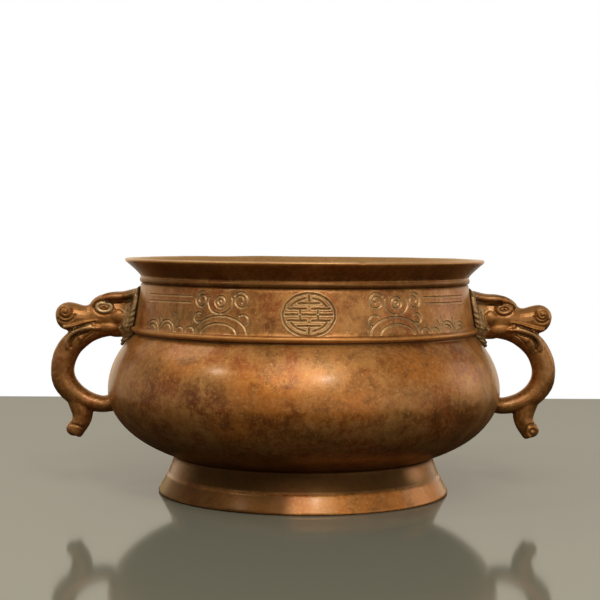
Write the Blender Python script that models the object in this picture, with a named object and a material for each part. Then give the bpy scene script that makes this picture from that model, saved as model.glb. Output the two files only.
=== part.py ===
# A bronze incense burner in the Chinese gui form: a round footed bowl with two beast-head handles.
# Lengths are in metres, +Z is up, the front is -Y and the handles stand on the X axis.

import math

import bmesh
import bpy
from mathutils import Matrix, Vector

MM = 0.001

# Heights of the bowl's zones, stacked from the floor up
FOOT_HEIGHT = 15.7 * MM
BELLY_HEIGHT = 51.2 * MM
FILLET_HEIGHT = 2.6 * MM
BAND_HEIGHT = 17.7 * MM
MOULDING_HEIGHT = 2.7 * MM
LIP_HEIGHT = 7.6 * MM

# Outer radii
FOOT_RADIUS = 60.8 * MM
WAIST_RADIUS = 54.2 * MM
BELLY_RADIUS = 82.0 * MM
SHOULDER_RADIUS = 70.4 * MM
BAND_LOW_RADIUS = 71.2 * MM
BAND_TOP_RADIUS = 68.4 * MM
RIM_RADIUS = 75.0 * MM

# Walls and mouldings
WALL = 3.2 * MM
LIP_EDGE = 1.2 * MM
FOOT_WALL = 4.2 * MM
FILLET_RISE = 1.5 * MM
MOULDING_RISE = 0.7 * MM
FOOT_LIP_HEIGHT = 7.4 * MM
FOOT_LIP_STEP = 0.35 * MM
WIDEST_LEVEL = 0.53  # share of the belly's height at which it is widest
SHOULDER_CURVE = 0.43  # centre of the upper belly's curve, as a share of the shoulder's radius
WAIST_CURVE = 0.47  # centre of the lower belly's curve, as a share of the waist's radius
ARRIS_SHARE = 0.42  # how far out the foot's arris stands, as a share from the waist to the foot
SIDES = 48

# Incised lines of the band
LINE_WIDTH = 0.8 * MM
LINE_DEPTH = 0.55 * MM
LINE_STEP = 3.8 * MM  # longest straight run of a curved line
EYE_ANGLE = 28.9  # degrees from the middle of the front to each eye
BACK_ANGLE = 180.0
ROUNDEL = (0.46, 0.572, 0.445)  # middle, half width and half height, in parts of the band's height

# Handles
FINGER_GAP = 14.5 * MM  # from the widest belly to the inside of the loop
HANDLE_HEIGHT = 64.2 * MM
HANDLE_DROP = 0.6 * MM  # from the top of the band to the top of the collar
LOOP_THICKNESS = 10.0 * MM
LOOP_DEPTH = 9.6 * MM
HEAD_DEPTH = 14.4 * MM
COLLAR_WIDTH = 23.0 * MM
COLLAR_THICKNESS = 2.8 * MM
SEAT_GAP = 0.3 * MM  # solder gap between a handle and the bowl

BRONZE = (0.19, 0.085, 0.036, 1.0)
HANDLE_BRONZE = (0.21, 0.09, 0.035, 1.0)

# Levels of the zones
BELLY_TOP = FOOT_HEIGHT + BELLY_HEIGHT
BAND_LOW = BELLY_TOP + FILLET_HEIGHT
BAND_TOP = BAND_LOW + BAND_HEIGHT
NECK_TOP = BAND_TOP + MOULDING_HEIGHT
RIM_TOP = NECK_TOP + LIP_HEIGHT
WIDEST = FOOT_HEIGHT + BELLY_HEIGHT * WIDEST_LEVEL

HANDLE_REACH = BELLY_RADIUS + FINGER_GAP + LOOP_THICKNESS
HANDLE_TOP = BAND_TOP - HANDLE_DROP
HANDLE_LOW = HANDLE_TOP - HANDLE_HEIGHT

# The handle is drawn on a grid, out from the axis and up: collar at 68.4, loop at 106.5, tail at 22.4, top at 86.6
GRID = (68.4, 106.5, 22.4, 86.6)
FORM_UNIT = HANDLE_HEIGHT / (GRID[3] - GRID[2])  # one grid step


def clear_scene():
    for old in list(bpy.data.objects):
        bpy.data.objects.remove(old, do_unlink=True)


def bronze(name, color, roughness):
    material = bpy.data.materials.new(name)
    material.use_nodes = True
    shader = material.node_tree.nodes["Principled BSDF"]
    shader.inputs["Base Color"].default_value = color
    shader.inputs["Metallic"].default_value = 0.85
    shader.inputs["Roughness"].default_value = roughness
    return material


def mesh_object(name, bm, helper=False):
    bmesh.ops.recalc_face_normals(bm, faces=bm.faces)
    mesh = bpy.data.meshes.new(name)
    bm.to_mesh(mesh)
    bm.free()
    made = bpy.data.objects.new(name, mesh)
    bpy.context.scene.collection.objects.link(made)
    if helper:
        made.hide_render = True
        made.display_type = "WIRE"
    return made


def combine(target, helper, operation, crossing=False):
    step = target.modifiers.new(helper.name, "BOOLEAN")
    step.solver = "EXACT"
    step.operation = operation
    step.use_self = crossing
    step.object = helper
    return step


# The bowl's outline

def curve_to(widest, start, centre_radius, count):
    # An elliptical arc from start to the widest point, as (radius, level) pairs without the widest point
    across = (start[0] - centre_radius) / (widest[0] - centre_radius)
    half_height = (start[1] - widest[1]) / math.sqrt(1.0 - across * across)
    first = math.asin((start[1] - widest[1]) / half_height)
    points = []
    for i in range(count):
        turn = first * (1.0 - i / count)
        points.append((centre_radius + (widest[0] - centre_radius) * math.cos(turn),
                       widest[1] + half_height * math.sin(turn)))
    return points


def foot_outline():
    # Down from the waist: a hollow curve, an arris, then a round lip to the floor
    arris_radius = WAIST_RADIUS + (FOOT_RADIUS - WAIST_RADIUS) * ARRIS_SHARE
    hollow_height = FOOT_HEIGHT - FOOT_LIP_HEIGHT
    points = []
    for share in (0.0, 0.45, 1.0):
        points.append((WAIST_RADIUS + (arris_radius - WAIST_RADIUS) * share ** 1.2,
                       FOOT_HEIGHT - hollow_height * share))
    lip_start = arris_radius + FOOT_LIP_STEP
    for share in (0.0, 0.4, 0.8, 1.0):
        points.append((lip_start + (FOOT_RADIUS - lip_start) * math.sin(share * math.pi / 2) ** 0.85,
                       FOOT_LIP_HEIGHT * (0.96 - 0.82 * share)))
    points.append((FOOT_RADIUS, 0.0))
    return points


def lip_outline():
    # The flare from the neck to the rim
    points = []
    for share in (0.0, 0.35, 1.0):
        points.append((BAND_TOP_RADIUS + (RIM_RADIUS - BAND_TOP_RADIUS) * share ** 1.25,
                       NECK_TOP + (LIP_HEIGHT - LIP_EDGE) * share))
    return points


def outer_outline():
    # Top to bottom
    points = [(RIM_RADIUS, RIM_TOP - LIP_EDGE * 0.25)]
    points += list(reversed(lip_outline()))
    ring = BAND_TOP_RADIUS + MOULDING_RISE
    points += [(ring, NECK_TOP - MOULDING_HEIGHT * 0.35),
               (ring, NECK_TOP - MOULDING_HEIGHT * 0.75),
               (BAND_TOP_RADIUS, BAND_TOP),
               (BAND_LOW_RADIUS, BAND_LOW)]
    crest = BAND_LOW_RADIUS + FILLET_RISE
    points += [(crest, BAND_LOW - FILLET_HEIGHT * 0.28),
               (crest, BAND_LOW - FILLET_HEIGHT * 0.72)]
    widest = (BELLY_RADIUS, WIDEST)
    points += curve_to(widest, (SHOULDER_RADIUS, BELLY_TOP), SHOULDER_RADIUS * SHOULDER_CURVE, 4)
    points.append(widest)
    lower = curve_to(widest, (WAIST_RADIUS, FOOT_HEIGHT), WAIST_RADIUS * WAIST_CURVE, 5)
    points += list(reversed(lower))[:-1]
    points += foot_outline()
    return points


def inner_outline():
    # From inside the rim down to the middle of the floor of the bowl
    points = [(RIM_RADIUS - LIP_EDGE * 0.3, RIM_TOP), (RIM_RADIUS - LIP_EDGE, RIM_TOP)]
    points.append((BAND_TOP_RADIUS - WALL, NECK_TOP + LIP_HEIGHT * 0.08))
    points.append((BAND_LOW_RADIUS - WALL, BELLY_TOP + FILLET_HEIGHT * 0.5))
    widest = (BELLY_RADIUS - WALL, WIDEST)
    points += curve_to(widest, (SHOULDER_RADIUS - WALL * 0.7, BELLY_TOP - WALL),
                       SHOULDER_RADIUS * SHOULDER_CURVE, 2)
    points.append(widest)
    centre_radius = WAIST_RADIUS * WAIST_CURVE
    points += list(reversed(curve_to(widest, (WAIST_RADIUS - WALL, FOOT_HEIGHT + WALL), centre_radius, 4)))
    points.append((centre_radius, bowl_floor()))
    points.append((0.0, bowl_floor()))
    return points


def bowl_underside():
    # Level of the casting's underside inside the foot
    centre_radius = WAIST_RADIUS * WAIST_CURVE
    across = (WAIST_RADIUS - centre_radius) / (BELLY_RADIUS - centre_radius)
    half_height = (WIDEST - FOOT_HEIGHT) / math.sqrt(1.0 - across * across)
    return WIDEST - half_height


def bowl_floor():
    return bowl_underside() + WALL


def under_outline():
    # From the axis under the bowl, out and down inside the foot ring
    inside_top = WAIST_RADIUS - FOOT_WALL
    return [(0.0, bowl_underside()),
            (inside_top * 0.6, bowl_underside()),
            (inside_top, bowl_underside() + WALL * 0.35),
            (inside_top + (FOOT_RADIUS - WAIST_RADIUS) * 0.45, FOOT_LIP_HEIGHT * 0.75),
            (FOOT_RADIUS - FOOT_WALL, 0.0)]


def revolve(name, outline):
    # A closed outline that starts and ends on the axis, turned about Z
    bm = bmesh.new()
    chain = [bm.verts.new((radius, 0.0, level)) for radius, level in outline]
    edges = [bm.edges.new(pair) for pair in zip(chain, chain[1:])]
    bmesh.ops.spin(bm, geom=chain + edges, cent=(0, 0, 0), axis=(0, 0, 1),
                   angle=math.tau, steps=SIDES, use_merge=True)
    bmesh.ops.remove_doubles(bm, verts=bm.verts, dist=0.00001)
    return mesh_object(name, bm)


def outer_radius(level):
    # Outer radius of the bowl at a level, read from its outline
    outline = outer_outline()
    for (high_radius, high), (low_radius, low) in zip(outline, outline[1:]):
        if low <= level <= high and high > low:
            share = (level - low) / (high - low)
            return low_radius + (high_radius - low_radius) * share
    return outline[0][0] if level > outline[0][1] else outline[-1][0]


# The band's lines. A path is a list of (across, up) lengths in parts of the band's height.

def arc(centre, radii, first, last):
    run = abs(math.radians(last - first)) * max(radii) * BAND_HEIGHT
    count = max(3, math.ceil(run / LINE_STEP), abs(last - first) // 45)
    path = []
    for i in range(count + 1):
        turn = math.radians(first + (last - first) * i / count)
        path.append((centre[0] + radii[0] * math.cos(turn), centre[1] + radii[1] * math.sin(turn)))
    return path


def scroll(centre, outer, inner, first, last):
    # A curl whose radius shrinks from outer to inner
    count = max(6, math.ceil(abs(last - first) / 50.0))
    path = []
    for i in range(count + 1):
        share = i / count
        turn = math.radians(first + (last - first) * share)
        radius = outer + (inner - outer) * share ** 1.5
        path.append((centre[0] + radius * math.cos(turn), centre[1] + radius * math.sin(turn)))
    return path


def straight(start, end):
    run = math.hypot(end[0] - start[0], end[1] - start[1]) * BAND_HEIGHT
    count = max(1, math.ceil(run / (LINE_STEP * 2.0)))
    return [(start[0] + (end[0] - start[0]) * i / count, start[1] + (end[1] - start[1]) * i / count)
            for i in range(count + 1)]


def mirrored(path):
    return [(-across, up) for across, up in path]


def roundel_lines():
    # An oval ring filled with a fret that is the same on both halves, across and up
    middle, wide, tall = ROUNDEL
    lines = []
    quarter = [
        arc((0.0, 0.0), (wide * 0.77, tall * 0.77), 30, 78),
        straight((wide * 0.12, tall * 0.29), (wide * 0.80, tall * 0.29)),
    ]
    half = [straight((-wide * 0.40, tall * 0.53), (wide * 0.40, tall * 0.53)),
            straight((0.0, tall * 0.90), (0.0, tall * 0.66))]
    for path in quarter:
        for side in (1, -1):
            for end in (1, -1):
                lines.append([(across * side, up * end) for across, up in path])
    for path in half:
        for end in (1, -1):
            lines.append([(across, up * end) for across, up in path])
    lines.append(straight((-wide * 0.28, 0.0), (wide * 0.28, 0.0)))
    side_bar = straight((wide * 0.40, 0.0), (wide * 0.88, 0.0))
    lines += [side_bar, mirrored(side_bar)]
    lines = [[(across, up + middle) for across, up in path] for path in lines]
    ring = arc((0.0, middle), (wide, tall), 0, 360)
    return lines, ring


def eye_lines():
    # A round eye between two curls, over a double arch that springs from the fillet
    eye = (0.0, 0.70)
    return [
        arc(eye, (0.32, 0.25), 158, 382),
        scroll((-0.50, 0.74), 0.20, 0.10, 60, 400),
        scroll((0.50, 0.74), 0.20, 0.10, 120, -220),
        arc((0.0, 0.03), (0.57, 0.37), 176, 4),
        arc((0.0, 0.03), (0.41, 0.24), 174, 6),
        arc((-0.565, 0.29), (0.12, 0.12), 60, 250),
        arc((0.555, 0.31), (0.12, 0.12), 120, -110),
    ], arc(eye, (0.13, 0.13), 0, 360)


def cloud_lines():
    # Small arches along the fillet and a pair of rules above them, measured from the eye
    return [
        straight((0.78, 0.80), (2.42, 0.80)),
        straight((0.78, 0.66), (2.42, 0.66)),
        arc((0.76, 0.03), (0.13, 0.09), 176, 4),
        arc((1.08, 0.03), (0.13, 0.09), 176, 4),
        arc((1.55, 0.03), (0.29, 0.25), 176, 4),
        arc((1.55, 0.03), (0.17, 0.15), 174, 6),
        arc((2.16, 0.03), (0.28, 0.20), 176, 30),
        straight((1.92, 0.33), (1.99, 0.21)),
    ]


def back_lines():
    # The back carries the ring with three bars, and the rules and arches beside it
    middle, wide, tall = ROUNDEL
    ring = arc((0.0, middle), (wide, tall), 0, 360)
    return [straight((-0.34, 0.46), (0.34, 0.46)),
            straight((-0.30, 0.60), (0.30, 0.60)),
            straight((-0.30, 0.32), (0.30, 0.32))], ring


def band_point(angle, across, up, lift):
    # A point on the band, turned about Z from the front by an angle, at a lift above the surface
    level = BAND_LOW + up * BAND_HEIGHT
    radius = BAND_LOW_RADIUS + (BAND_TOP_RADIUS - BAND_LOW_RADIUS) * up
    turn = math.radians(angle) + across * BAND_HEIGHT / BAND_LOW_RADIUS
    return Vector(((radius + lift) * math.sin(turn), -(radius + lift) * math.cos(turn), level))


def add_line(bm, path, angle, closed):
    # A trough-shaped cutter along the path
    above = LINE_DEPTH * 0.9
    points = path[:-1] if closed else path
    count = len(points)
    rings = []
    for i, (across, up) in enumerate(points):
        before = points[i - 1] if closed or i else points[i]
        after = points[(i + 1) % count] if closed or i < count - 1 else points[i]
        run = Vector((after[0] - before[0], after[1] - before[1])).normalized()
        side = Vector((-run.y, run.x)) * (LINE_WIDTH / 2 / BAND_HEIGHT)
        ring = []
        for share, lift in ((1.3, above), (-1.3, above), (-0.5, -LINE_DEPTH), (0.5, -LINE_DEPTH)):
            ring.append(bm.verts.new(band_point(angle, across + side.x * share, up + side.y * share, lift)))
        rings.append(ring)
    pairs = list(zip(rings, rings[1:])) + ([(rings[-1], rings[0])] if closed else [])
    for first, second in pairs:
        for i in range(4):
            j = (i + 1) % 4
            bm.faces.new((first[i], first[j], second[j], second[i]))
    if not closed:
        bm.faces.new(rings[0])
        bm.faces.new(rings[-1])


def band_cutter():
    bm = bmesh.new()
    fret, ring = roundel_lines()
    for path in fret:
        add_line(bm, path, 0.0, False)
    add_line(bm, ring, 0.0, True)
    eye, pupil = eye_lines()
    for side in (1, -1):
        for path in eye + cloud_lines():
            drawn = path if side == 1 else mirrored(path)
            add_line(bm, drawn, side * EYE_ANGLE, False)
        add_line(bm, pupil, side * EYE_ANGLE, True)
    plain, ring = back_lines()
    for path in plain:
        add_line(bm, path, BACK_ANGLE, False)
    add_line(bm, ring, BACK_ANGLE, True)
    for side in (1, -1):
        for path in cloud_lines()[:2] + eye[3:4]:
            drawn = path if side == 1 else mirrored(path)
            add_line(bm, drawn, BACK_ANGLE + side * EYE_ANGLE, False)
    return mesh_object("band_cutter", bm, helper=True)


def make_vessel(material):
    vessel = revolve("vessel", list(reversed(inner_outline())) + outer_outline() +
                     list(reversed(under_outline())))
    combine(vessel, band_cutter(), "DIFFERENCE", crossing=True)
    vessel.data.materials.append(material)
    return vessel


# The handles

def handle_point(x, y, z):
    # From the handle's grid to its place beside the bowl
    share = (x - GRID[0]) / (GRID[1] - GRID[0])
    out = BAND_TOP_RADIUS + share * (HANDLE_REACH - BAND_TOP_RADIUS)
    up = HANDLE_LOW + (z - GRID[2]) * FORM_UNIT
    return Vector((out, y, up))


def oval(sides, exponent):
    # Unit outline, rounder or squarer by its exponent
    points = []
    for i in range(sides):
        turn = math.tau * (i + 0.5) / sides
        c, s = math.cos(turn), math.sin(turn)
        points.append((math.copysign(abs(c) ** (2 / exponent), c), math.copysign(abs(s) ** (2 / exponent), s)))
    return points


def add_limb(bm, stations, sides, exponent=2.3):
    # A round bar through stations (x, y, z, half thickness, half depth), closed at both ends
    centres = [handle_point(x, y * FORM_UNIT, z) for x, y, z, thick, deep in stations]
    rings = []
    for i, centre in enumerate(centres):
        run = centres[min(i + 1, len(centres) - 1)] - centres[max(i - 1, 0)]
        run.normalize()
        across = Vector((0, 1, 0)) - run * run.y
        across.normalize()
        up = run.cross(across)
        thick, deep = stations[i][3] * FORM_UNIT, stations[i][4] * FORM_UNIT
        rings.append([bm.verts.new(centre + up * (a * thick) + across * (b * deep)) for a, b in oval(sides, exponent)])
    for first, second in zip(rings, rings[1:]):
        for i in range(sides):
            j = (i + 1) % sides
            bm.faces.new((first[i], first[j], second[j], second[i]))
    bm.faces.new(rings[0])
    bm.faces.new(rings[-1])


def add_head(bm):
    # The skull and snout, as sections across X: (x, top, low, half depth)
    half = HEAD_DEPTH / 2
    sections = [
        (69.0, 84.6, 70.0, half * 0.80),
        (73.5, 83.8, 64.5, half * 0.86),
        (78.0, 83.2, 63.2, half * 0.90),
        (82.5, 82.9, 64.4, half * 0.92),
        (86.2, 80.6, 64.6, half * 0.88),
        (89.4, 77.9, 65.2, half * 0.80),
        (92.6, 77.4, 66.6, half * 0.76),
        (96.2, 78.3, 66.6, half * 0.82),
        (100.2, 78.9, 66.2, half * 0.84),
        (103.0, 76.8, 66.6, half * 0.70),
        (104.4, 74.0, 69.0, half * 0.42),
    ]
    rings = []
    for x, top, low, deep in sections:
        ring = []
        for a, b in oval(12, 2.5):
            ring.append(bm.verts.new(handle_point(x, b * deep, (top + low) / 2 + a * (top - low) / 2)))
        rings.append(ring)
    for first, second in zip(rings, rings[1:]):
        for i in range(12):
            j = (i + 1) % 12
            bm.faces.new((first[i], first[j], second[j], second[i]))
    bm.faces.new(rings[0])
    bm.faces.new(rings[-1])


def add_collar(bm):
    # A leaf-shaped plate that follows the bowl up and down and is straight across: (z, half width share)
    leaf = ((60.6, 0.22), (63.5, 0.50), (67.0, 0.78), (70.5, 0.94),
            (75.0, 1.0), (80.0, 1.0), (84.0, 0.9), (86.6, 0.62))
    rings = []
    for z, wide in leaf:
        level = handle_point(GRID[0], 0.0, z).z
        back = outer_radius(level) + SEAT_GAP / 3
        half = COLLAR_WIDTH / 2 * wide
        rim = COLLAR_THICKNESS * 0.7
        ring = [(back, -half), (back + rim, -half), (back + COLLAR_THICKNESS, -half * 0.6),
                (back + COLLAR_THICKNESS, half * 0.6), (back + rim, half), (back, half)]
        rings.append([bm.verts.new((x, y, level)) for x, y in ring])
    for first, second in zip(rings, rings[1:]):
        for i in range(6):
            j = (i + 1) % 6
            bm.faces.new((first[i], first[j], second[j], second[i]))
    bm.faces.new(rings[0])
    bm.faces.new(rings[-1])


def add_boss(bm, x, y, z, half_x, half_y, half_z, tilt=0.0):
    # A rounded lump
    made = bmesh.ops.create_icosphere(bm, subdivisions=1, radius=1.0)
    shape = Matrix.Rotation(math.radians(tilt), 4, "Y") @ Matrix.Diagonal((half_x, half_y, half_z, 1.0))
    shape = Matrix.Translation(handle_point(x, y * FORM_UNIT, z)) @ Matrix.Scale(FORM_UNIT, 4) @ shape
    bmesh.ops.transform(bm, matrix=shape, verts=made["verts"])


def loop_stations():
    thick = LOOP_THICKNESS / 2 / FORM_UNIT
    deep = LOOP_DEPTH / 2 / FORM_UNIT
    return [
        (84.0, 0, 68.2, thick * 0.70, deep * 1.15),
        (89.5, 0, 66.9, thick * 0.84, deep * 1.12),
        (94.5, 0, 64.2, thick * 0.94, deep * 1.08),
        (98.4, 0, 60.0, thick * 0.98, deep * 1.02),
        (100.9, 0, 54.6, thick, deep),
        (101.4, 0, 49.4, thick, deep),
        (99.9, 0, 44.6, thick, deep * 0.98),
        (96.6, 0, 40.4, thick * 0.96, deep * 0.96),
        (91.8, 0, 37.4, thick * 0.84, deep * 0.94),
        (86.4, 0, 36.2, thick * 0.74, deep * 0.94),
        (81.6, 0, 36.5, thick * 0.74, deep * 0.98),
        (76.0, 0, 37.0, thick * 0.80, deep * 1.05),
    ]


# The tail hangs from the foot of the loop and turns outward to a round end
TAIL = [
    (97.6, 0, 42.4, 3.4, 3.6),
    (94.9, 0, 37.6, 4.6, 4.2),
    (93.2, 0, 32.6, 4.5, 4.2),
    (93.8, 0, 28.9, 4.0, 4.0),
    (95.6, 0, 25.4, 3.7, 3.8),
    (96.6, 0, 23.6, 3.2, 3.3),
]


def add_face_details(bm, side):
    # Brow, eye, cheek, nostril, lower lip and tusk of one side of the head
    add_limb(bm, [(72.5, 4.4 * side, 82.0, 1.9, 1.9), (79.0, 4.9 * side, 81.6, 1.9, 1.9),
                  (84.6, 4.9 * side, 80.2, 1.7, 1.7), (88.0, 4.4 * side, 77.6, 1.2, 1.2)], 6, 2.0)
    add_boss(bm, 83.3, 5.6 * side, 76.7, 4.5, 1.8, 3.1)
    add_boss(bm, 77.6, 5.6 * side, 73.4, 4.0, 1.9, 3.4)
    add_boss(bm, 99.9, 5.3 * side, 75.0, 2.8, 1.6, 2.8)
    add_limb(bm, [(86.6, 5.1 * side, 68.4, 0.9, 1.0), (91.5, 5.1 * side, 68.0, 1.2, 1.3),
                  (96.3, 4.8 * side, 66.2, 1.2, 1.3), (99.4, 4.4 * side, 62.8, 1.1, 1.2),
                  (99.4, 4.1 * side, 59.2, 0.8, 0.9)], 6, 2.0)
    add_boss(bm, 94.0, 4.4 * side, 64.4, 1.2, 1.0, 1.9, -30)


def make_right_handle(material):
    bm = bmesh.new()
    add_limb(bm, loop_stations(), 12)
    body = mesh_object("dragon_handle_right", bm)
    body.data.materials.append(material)
    forms = bmesh.new()
    add_head(forms)
    add_limb(forms, TAIL, 10)
    add_collar(forms)
    for side in (1, -1):
        add_face_details(forms, side)
    combine(body, mesh_object("handle_forms", forms, helper=True), "UNION", crossing=True)
    combine(body, seat_cutter(), "DIFFERENCE")
    return body


def seat_cutter():
    # The bowl's outline with the solder gap, straight through in Y, so that each handle seats on it
    half = COLLAR_WIDTH
    outline = [(radius + SEAT_GAP, level) for radius, level in outer_outline()]
    outline = [(0.0, RIM_TOP)] + outline + [(0.0, 0.0)]
    bm = bmesh.new()
    near = [bm.verts.new((x, -half, z)) for x, z in outline]
    far = [bm.verts.new((x, half, z)) for x, z in outline]
    for i in range(len(outline)):
        j = (i + 1) % len(outline)
        bm.faces.new((near[i], near[j], far[j], far[i]))
    bm.faces.new(near)
    bm.faces.new(far)
    return mesh_object("seat_cutter", bm, helper=True)


def make_left_handle(right):
    # The same casting, mirrored
    bpy.context.view_layer.update()
    finished = right.evaluated_get(bpy.context.evaluated_depsgraph_get())
    mesh = bpy.data.meshes.new_from_object(finished)
    mesh.transform(Matrix.Scale(-1, 4, Vector((1, 0, 0))))
    mesh.flip_normals()
    left = bpy.data.objects.new("dragon_handle_left", mesh)
    bpy.context.scene.collection.objects.link(left)
    return left


def smooth(item, angle):
    item.data.shade_smooth()
    item.data.set_sharp_from_angle(angle=math.radians(angle))


clear_scene()
vessel = make_vessel(bronze("vessel_bronze", BRONZE, 0.42))
right_handle = make_right_handle(bronze("handle_bronze", HANDLE_BRONZE, 0.4))
left_handle = make_left_handle(right_handle)
for item in (vessel, right_handle, left_handle):
    smooth(item, 35)
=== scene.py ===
# Bronze incense burner: the finished surfaces, built round the CAD frame
import math

import bpy
import numpy as np
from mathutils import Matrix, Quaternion, Vector, noise


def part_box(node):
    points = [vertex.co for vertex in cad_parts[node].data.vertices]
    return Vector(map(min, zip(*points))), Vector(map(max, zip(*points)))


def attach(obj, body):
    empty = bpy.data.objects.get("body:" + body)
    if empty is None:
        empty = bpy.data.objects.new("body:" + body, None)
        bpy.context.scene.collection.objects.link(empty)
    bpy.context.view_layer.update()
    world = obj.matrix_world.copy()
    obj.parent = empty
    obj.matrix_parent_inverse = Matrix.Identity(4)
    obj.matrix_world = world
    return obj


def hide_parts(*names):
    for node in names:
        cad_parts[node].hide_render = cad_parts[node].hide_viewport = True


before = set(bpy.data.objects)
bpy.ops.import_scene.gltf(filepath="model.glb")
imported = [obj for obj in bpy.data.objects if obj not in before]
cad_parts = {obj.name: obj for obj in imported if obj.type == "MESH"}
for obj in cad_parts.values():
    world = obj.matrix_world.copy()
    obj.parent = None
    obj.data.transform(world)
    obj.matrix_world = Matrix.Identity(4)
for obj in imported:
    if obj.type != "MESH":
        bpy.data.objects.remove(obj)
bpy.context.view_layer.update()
bowlLow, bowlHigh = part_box("vessel")
drawnHeight = 97.5  # millimetres
unit = (bowlHigh.z - bowlLow.z) / drawnHeight  # metres for one millimetre of the drawing
print("frame loaded")

# small tools


def deselectAll():
    if bpy.context.mode != "OBJECT":
        bpy.ops.object.mode_set(mode="OBJECT")
    bpy.ops.object.select_all(action="DESELECT")


def activate(piece):
    deselectAll()
    piece.select_set(True)
    bpy.context.view_layer.objects.active = piece


def editMode(kind="VERT"):
    bpy.ops.object.mode_set(mode="EDIT")
    bpy.ops.mesh.select_mode(type=kind)


def objectMode():
    bpy.ops.object.mode_set(mode="OBJECT")


def applyModifier(piece, kind, **settings):
    activate(piece)
    step = piece.modifiers.new(kind.title(), kind)
    for name, value in settings.items():
        setattr(step, name, value)
    bpy.ops.object.modifier_apply(modifier=step.name)


def readPoints(piece):
    count = len(piece.data.vertices)
    points = np.empty(count * 3, np.float32)
    ways = np.empty(count * 3, np.float32)
    piece.data.vertices.foreach_get("co", points)
    piece.data.vertex_normals.foreach_get("vector", ways)
    return points.reshape(-1, 3).astype(float) / unit, ways.reshape(-1, 3).astype(float)


def writePoints(piece, points):
    piece.data.vertices.foreach_set("co", (points * unit).astype(np.float32).ravel())
    piece.data.update()


def faceCentres(piece):
    centres = np.empty(len(piece.data.polygons) * 3, np.float32)
    piece.data.polygons.foreach_get("center", centres)
    return centres.reshape(-1, 3) / unit


def cutFaces(piece, chosen):
    # each chosen face is cut in four
    activate(piece)
    editMode("FACE")
    bpy.ops.mesh.select_all(action="DESELECT")
    objectMode()
    piece.data.polygons.foreach_set("select", chosen)
    editMode("FACE")
    bpy.ops.mesh.subdivide(number_cuts=1)
    objectMode()


def paint(piece, name, values):
    layer = piece.data.attributes.get(name) or piece.data.attributes.new(name, "FLOAT", "POINT")
    layer.data.foreach_set("value", np.clip(values, 0.0, 1.0).astype(np.float32))


def bell(reach):
    return (1.0 - np.minimum(np.abs(reach), 1.0) ** 2) ** 2


def ramp(values, low, high):
    share = np.clip((values - low) / (high - low), 0.0, 1.0)
    return share * share * (3.0 - 2.0 * share)


def distanceToPath(points, path):
    # shortest distance from each flat point to a line of straight runs
    best = np.full(len(points), 1e9)
    for start, end in zip(path[:-1], path[1:]):
        run = end - start
        along = np.clip(((points - start) @ run) / max(run @ run, 1e-9), 0.0, 1.0)
        gap = np.hypot(*(points - start - along[:, None] * run).T)
        best = np.minimum(best, gap)
    return best


def roughness(points, size, seed):
    # one smooth value between -1 and 1 for each point, with lumps about size millimetres wide
    return np.array([noise.noise(Vector((x / size + seed, y / size, z / size))) for x, y, z in points])


# strokes of the incised band, as (along, up) in millimetres from a motif's centre and the band's foot


def ovalStroke(centre, wide, tall, first, last):
    turns = np.radians(np.linspace(first, last, max(5, int(abs(last - first) / 9))))
    return np.column_stack((centre[0] + wide * np.cos(turns), centre[1] + tall * np.sin(turns)))


def curlStroke(centre, outer, inner, first, last):
    share = np.linspace(0.0, 1.0, max(8, int(abs(last - first) / 12)))
    turns = np.radians(first + (last - first) * share)
    radius = outer + (inner - outer) * share ** 1.4
    return np.column_stack((centre[0] + radius * np.cos(turns), centre[1] + radius * np.sin(turns)))


def barStroke(start, end):
    return np.linspace(np.array(start, float), np.array(end, float), 8)


band = {
    "low": 69.5, "high": 87.2, "lowRadius": 71.2, "topRadius": 68.4,
    "lineWidth": 0.74, "lineDepth": 0.50, "burr": 0.10, "eyeAngle": 28.9, "waver": 0.05,
    "roundelWide": 10.1, "roundelTall": 7.95, "roundelUp": 8.15,
    "eyeStrength": 0.78, "ruleStrength": 0.42, "petalStrength": 0.62, "backStrength": 0.8,
}


def roundelStrokes():
    # an oval ring with a fret that is alike left and right and up and down
    wide, tall = band["roundelWide"], band["roundelTall"]
    quarter = [ovalStroke((0, 0), wide * 0.78, tall * 0.78, 29, 79),
               barStroke((wide * 0.11, tall * 0.28), (wide * 0.80, tall * 0.28)),
               barStroke((wide * 0.34, tall * 0.28), (wide * 0.34, tall * 0.06))]
    half = [barStroke((-wide * 0.42, tall * 0.53), (wide * 0.42, tall * 0.53)),
            barStroke((0, tall * 0.93), (0, tall * 0.62))]
    strokes = [ovalStroke((0, 0), wide, tall, 0, 360), barStroke((-wide * 0.26, 0), (wide * 0.26, 0))]
    for side in (1, -1):
        strokes.append(barStroke((side * wide * 0.42, 0), (side * wide * 0.90, 0)))
        for end in (1, -1):
            strokes += [path * (side, end) for path in quarter]
    for end in (1, -1):
        strokes += [path * (1, end) for path in half]
    return [path + (0, band["roundelUp"]) for path in strokes]


def eyeStrokes():
    # a round eye between two curls, over a double arch; along runs away from the roundel
    eye = (0.0, 12.4)
    return [
        ovalStroke(eye, 2.25, 2.25, 0, 360),
        ovalStroke(eye, 0.8, 0.8, 0, 360),
        ovalStroke(eye, 5.5, 4.5, 158, 262),
        ovalStroke(eye, 5.5, 4.5, 276, 382),
        curlStroke((-9.0, 13.0), 3.3, 0.9, 35, 590),
        curlStroke((8.8, 13.0), 3.2, 0.9, 110, -410),
        ovalStroke((-0.7, 0.2), 11.4, 6.9, 178, 2),
        ovalStroke((0.0, 0.2), 7.8, 4.1, 178, 2),
        curlStroke((-10.4, 5.4), 2.5, 1.9, 50, 240),
        curlStroke((9.8, 6.0), 2.2, 1.4, 115, -130),
    ]


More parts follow.
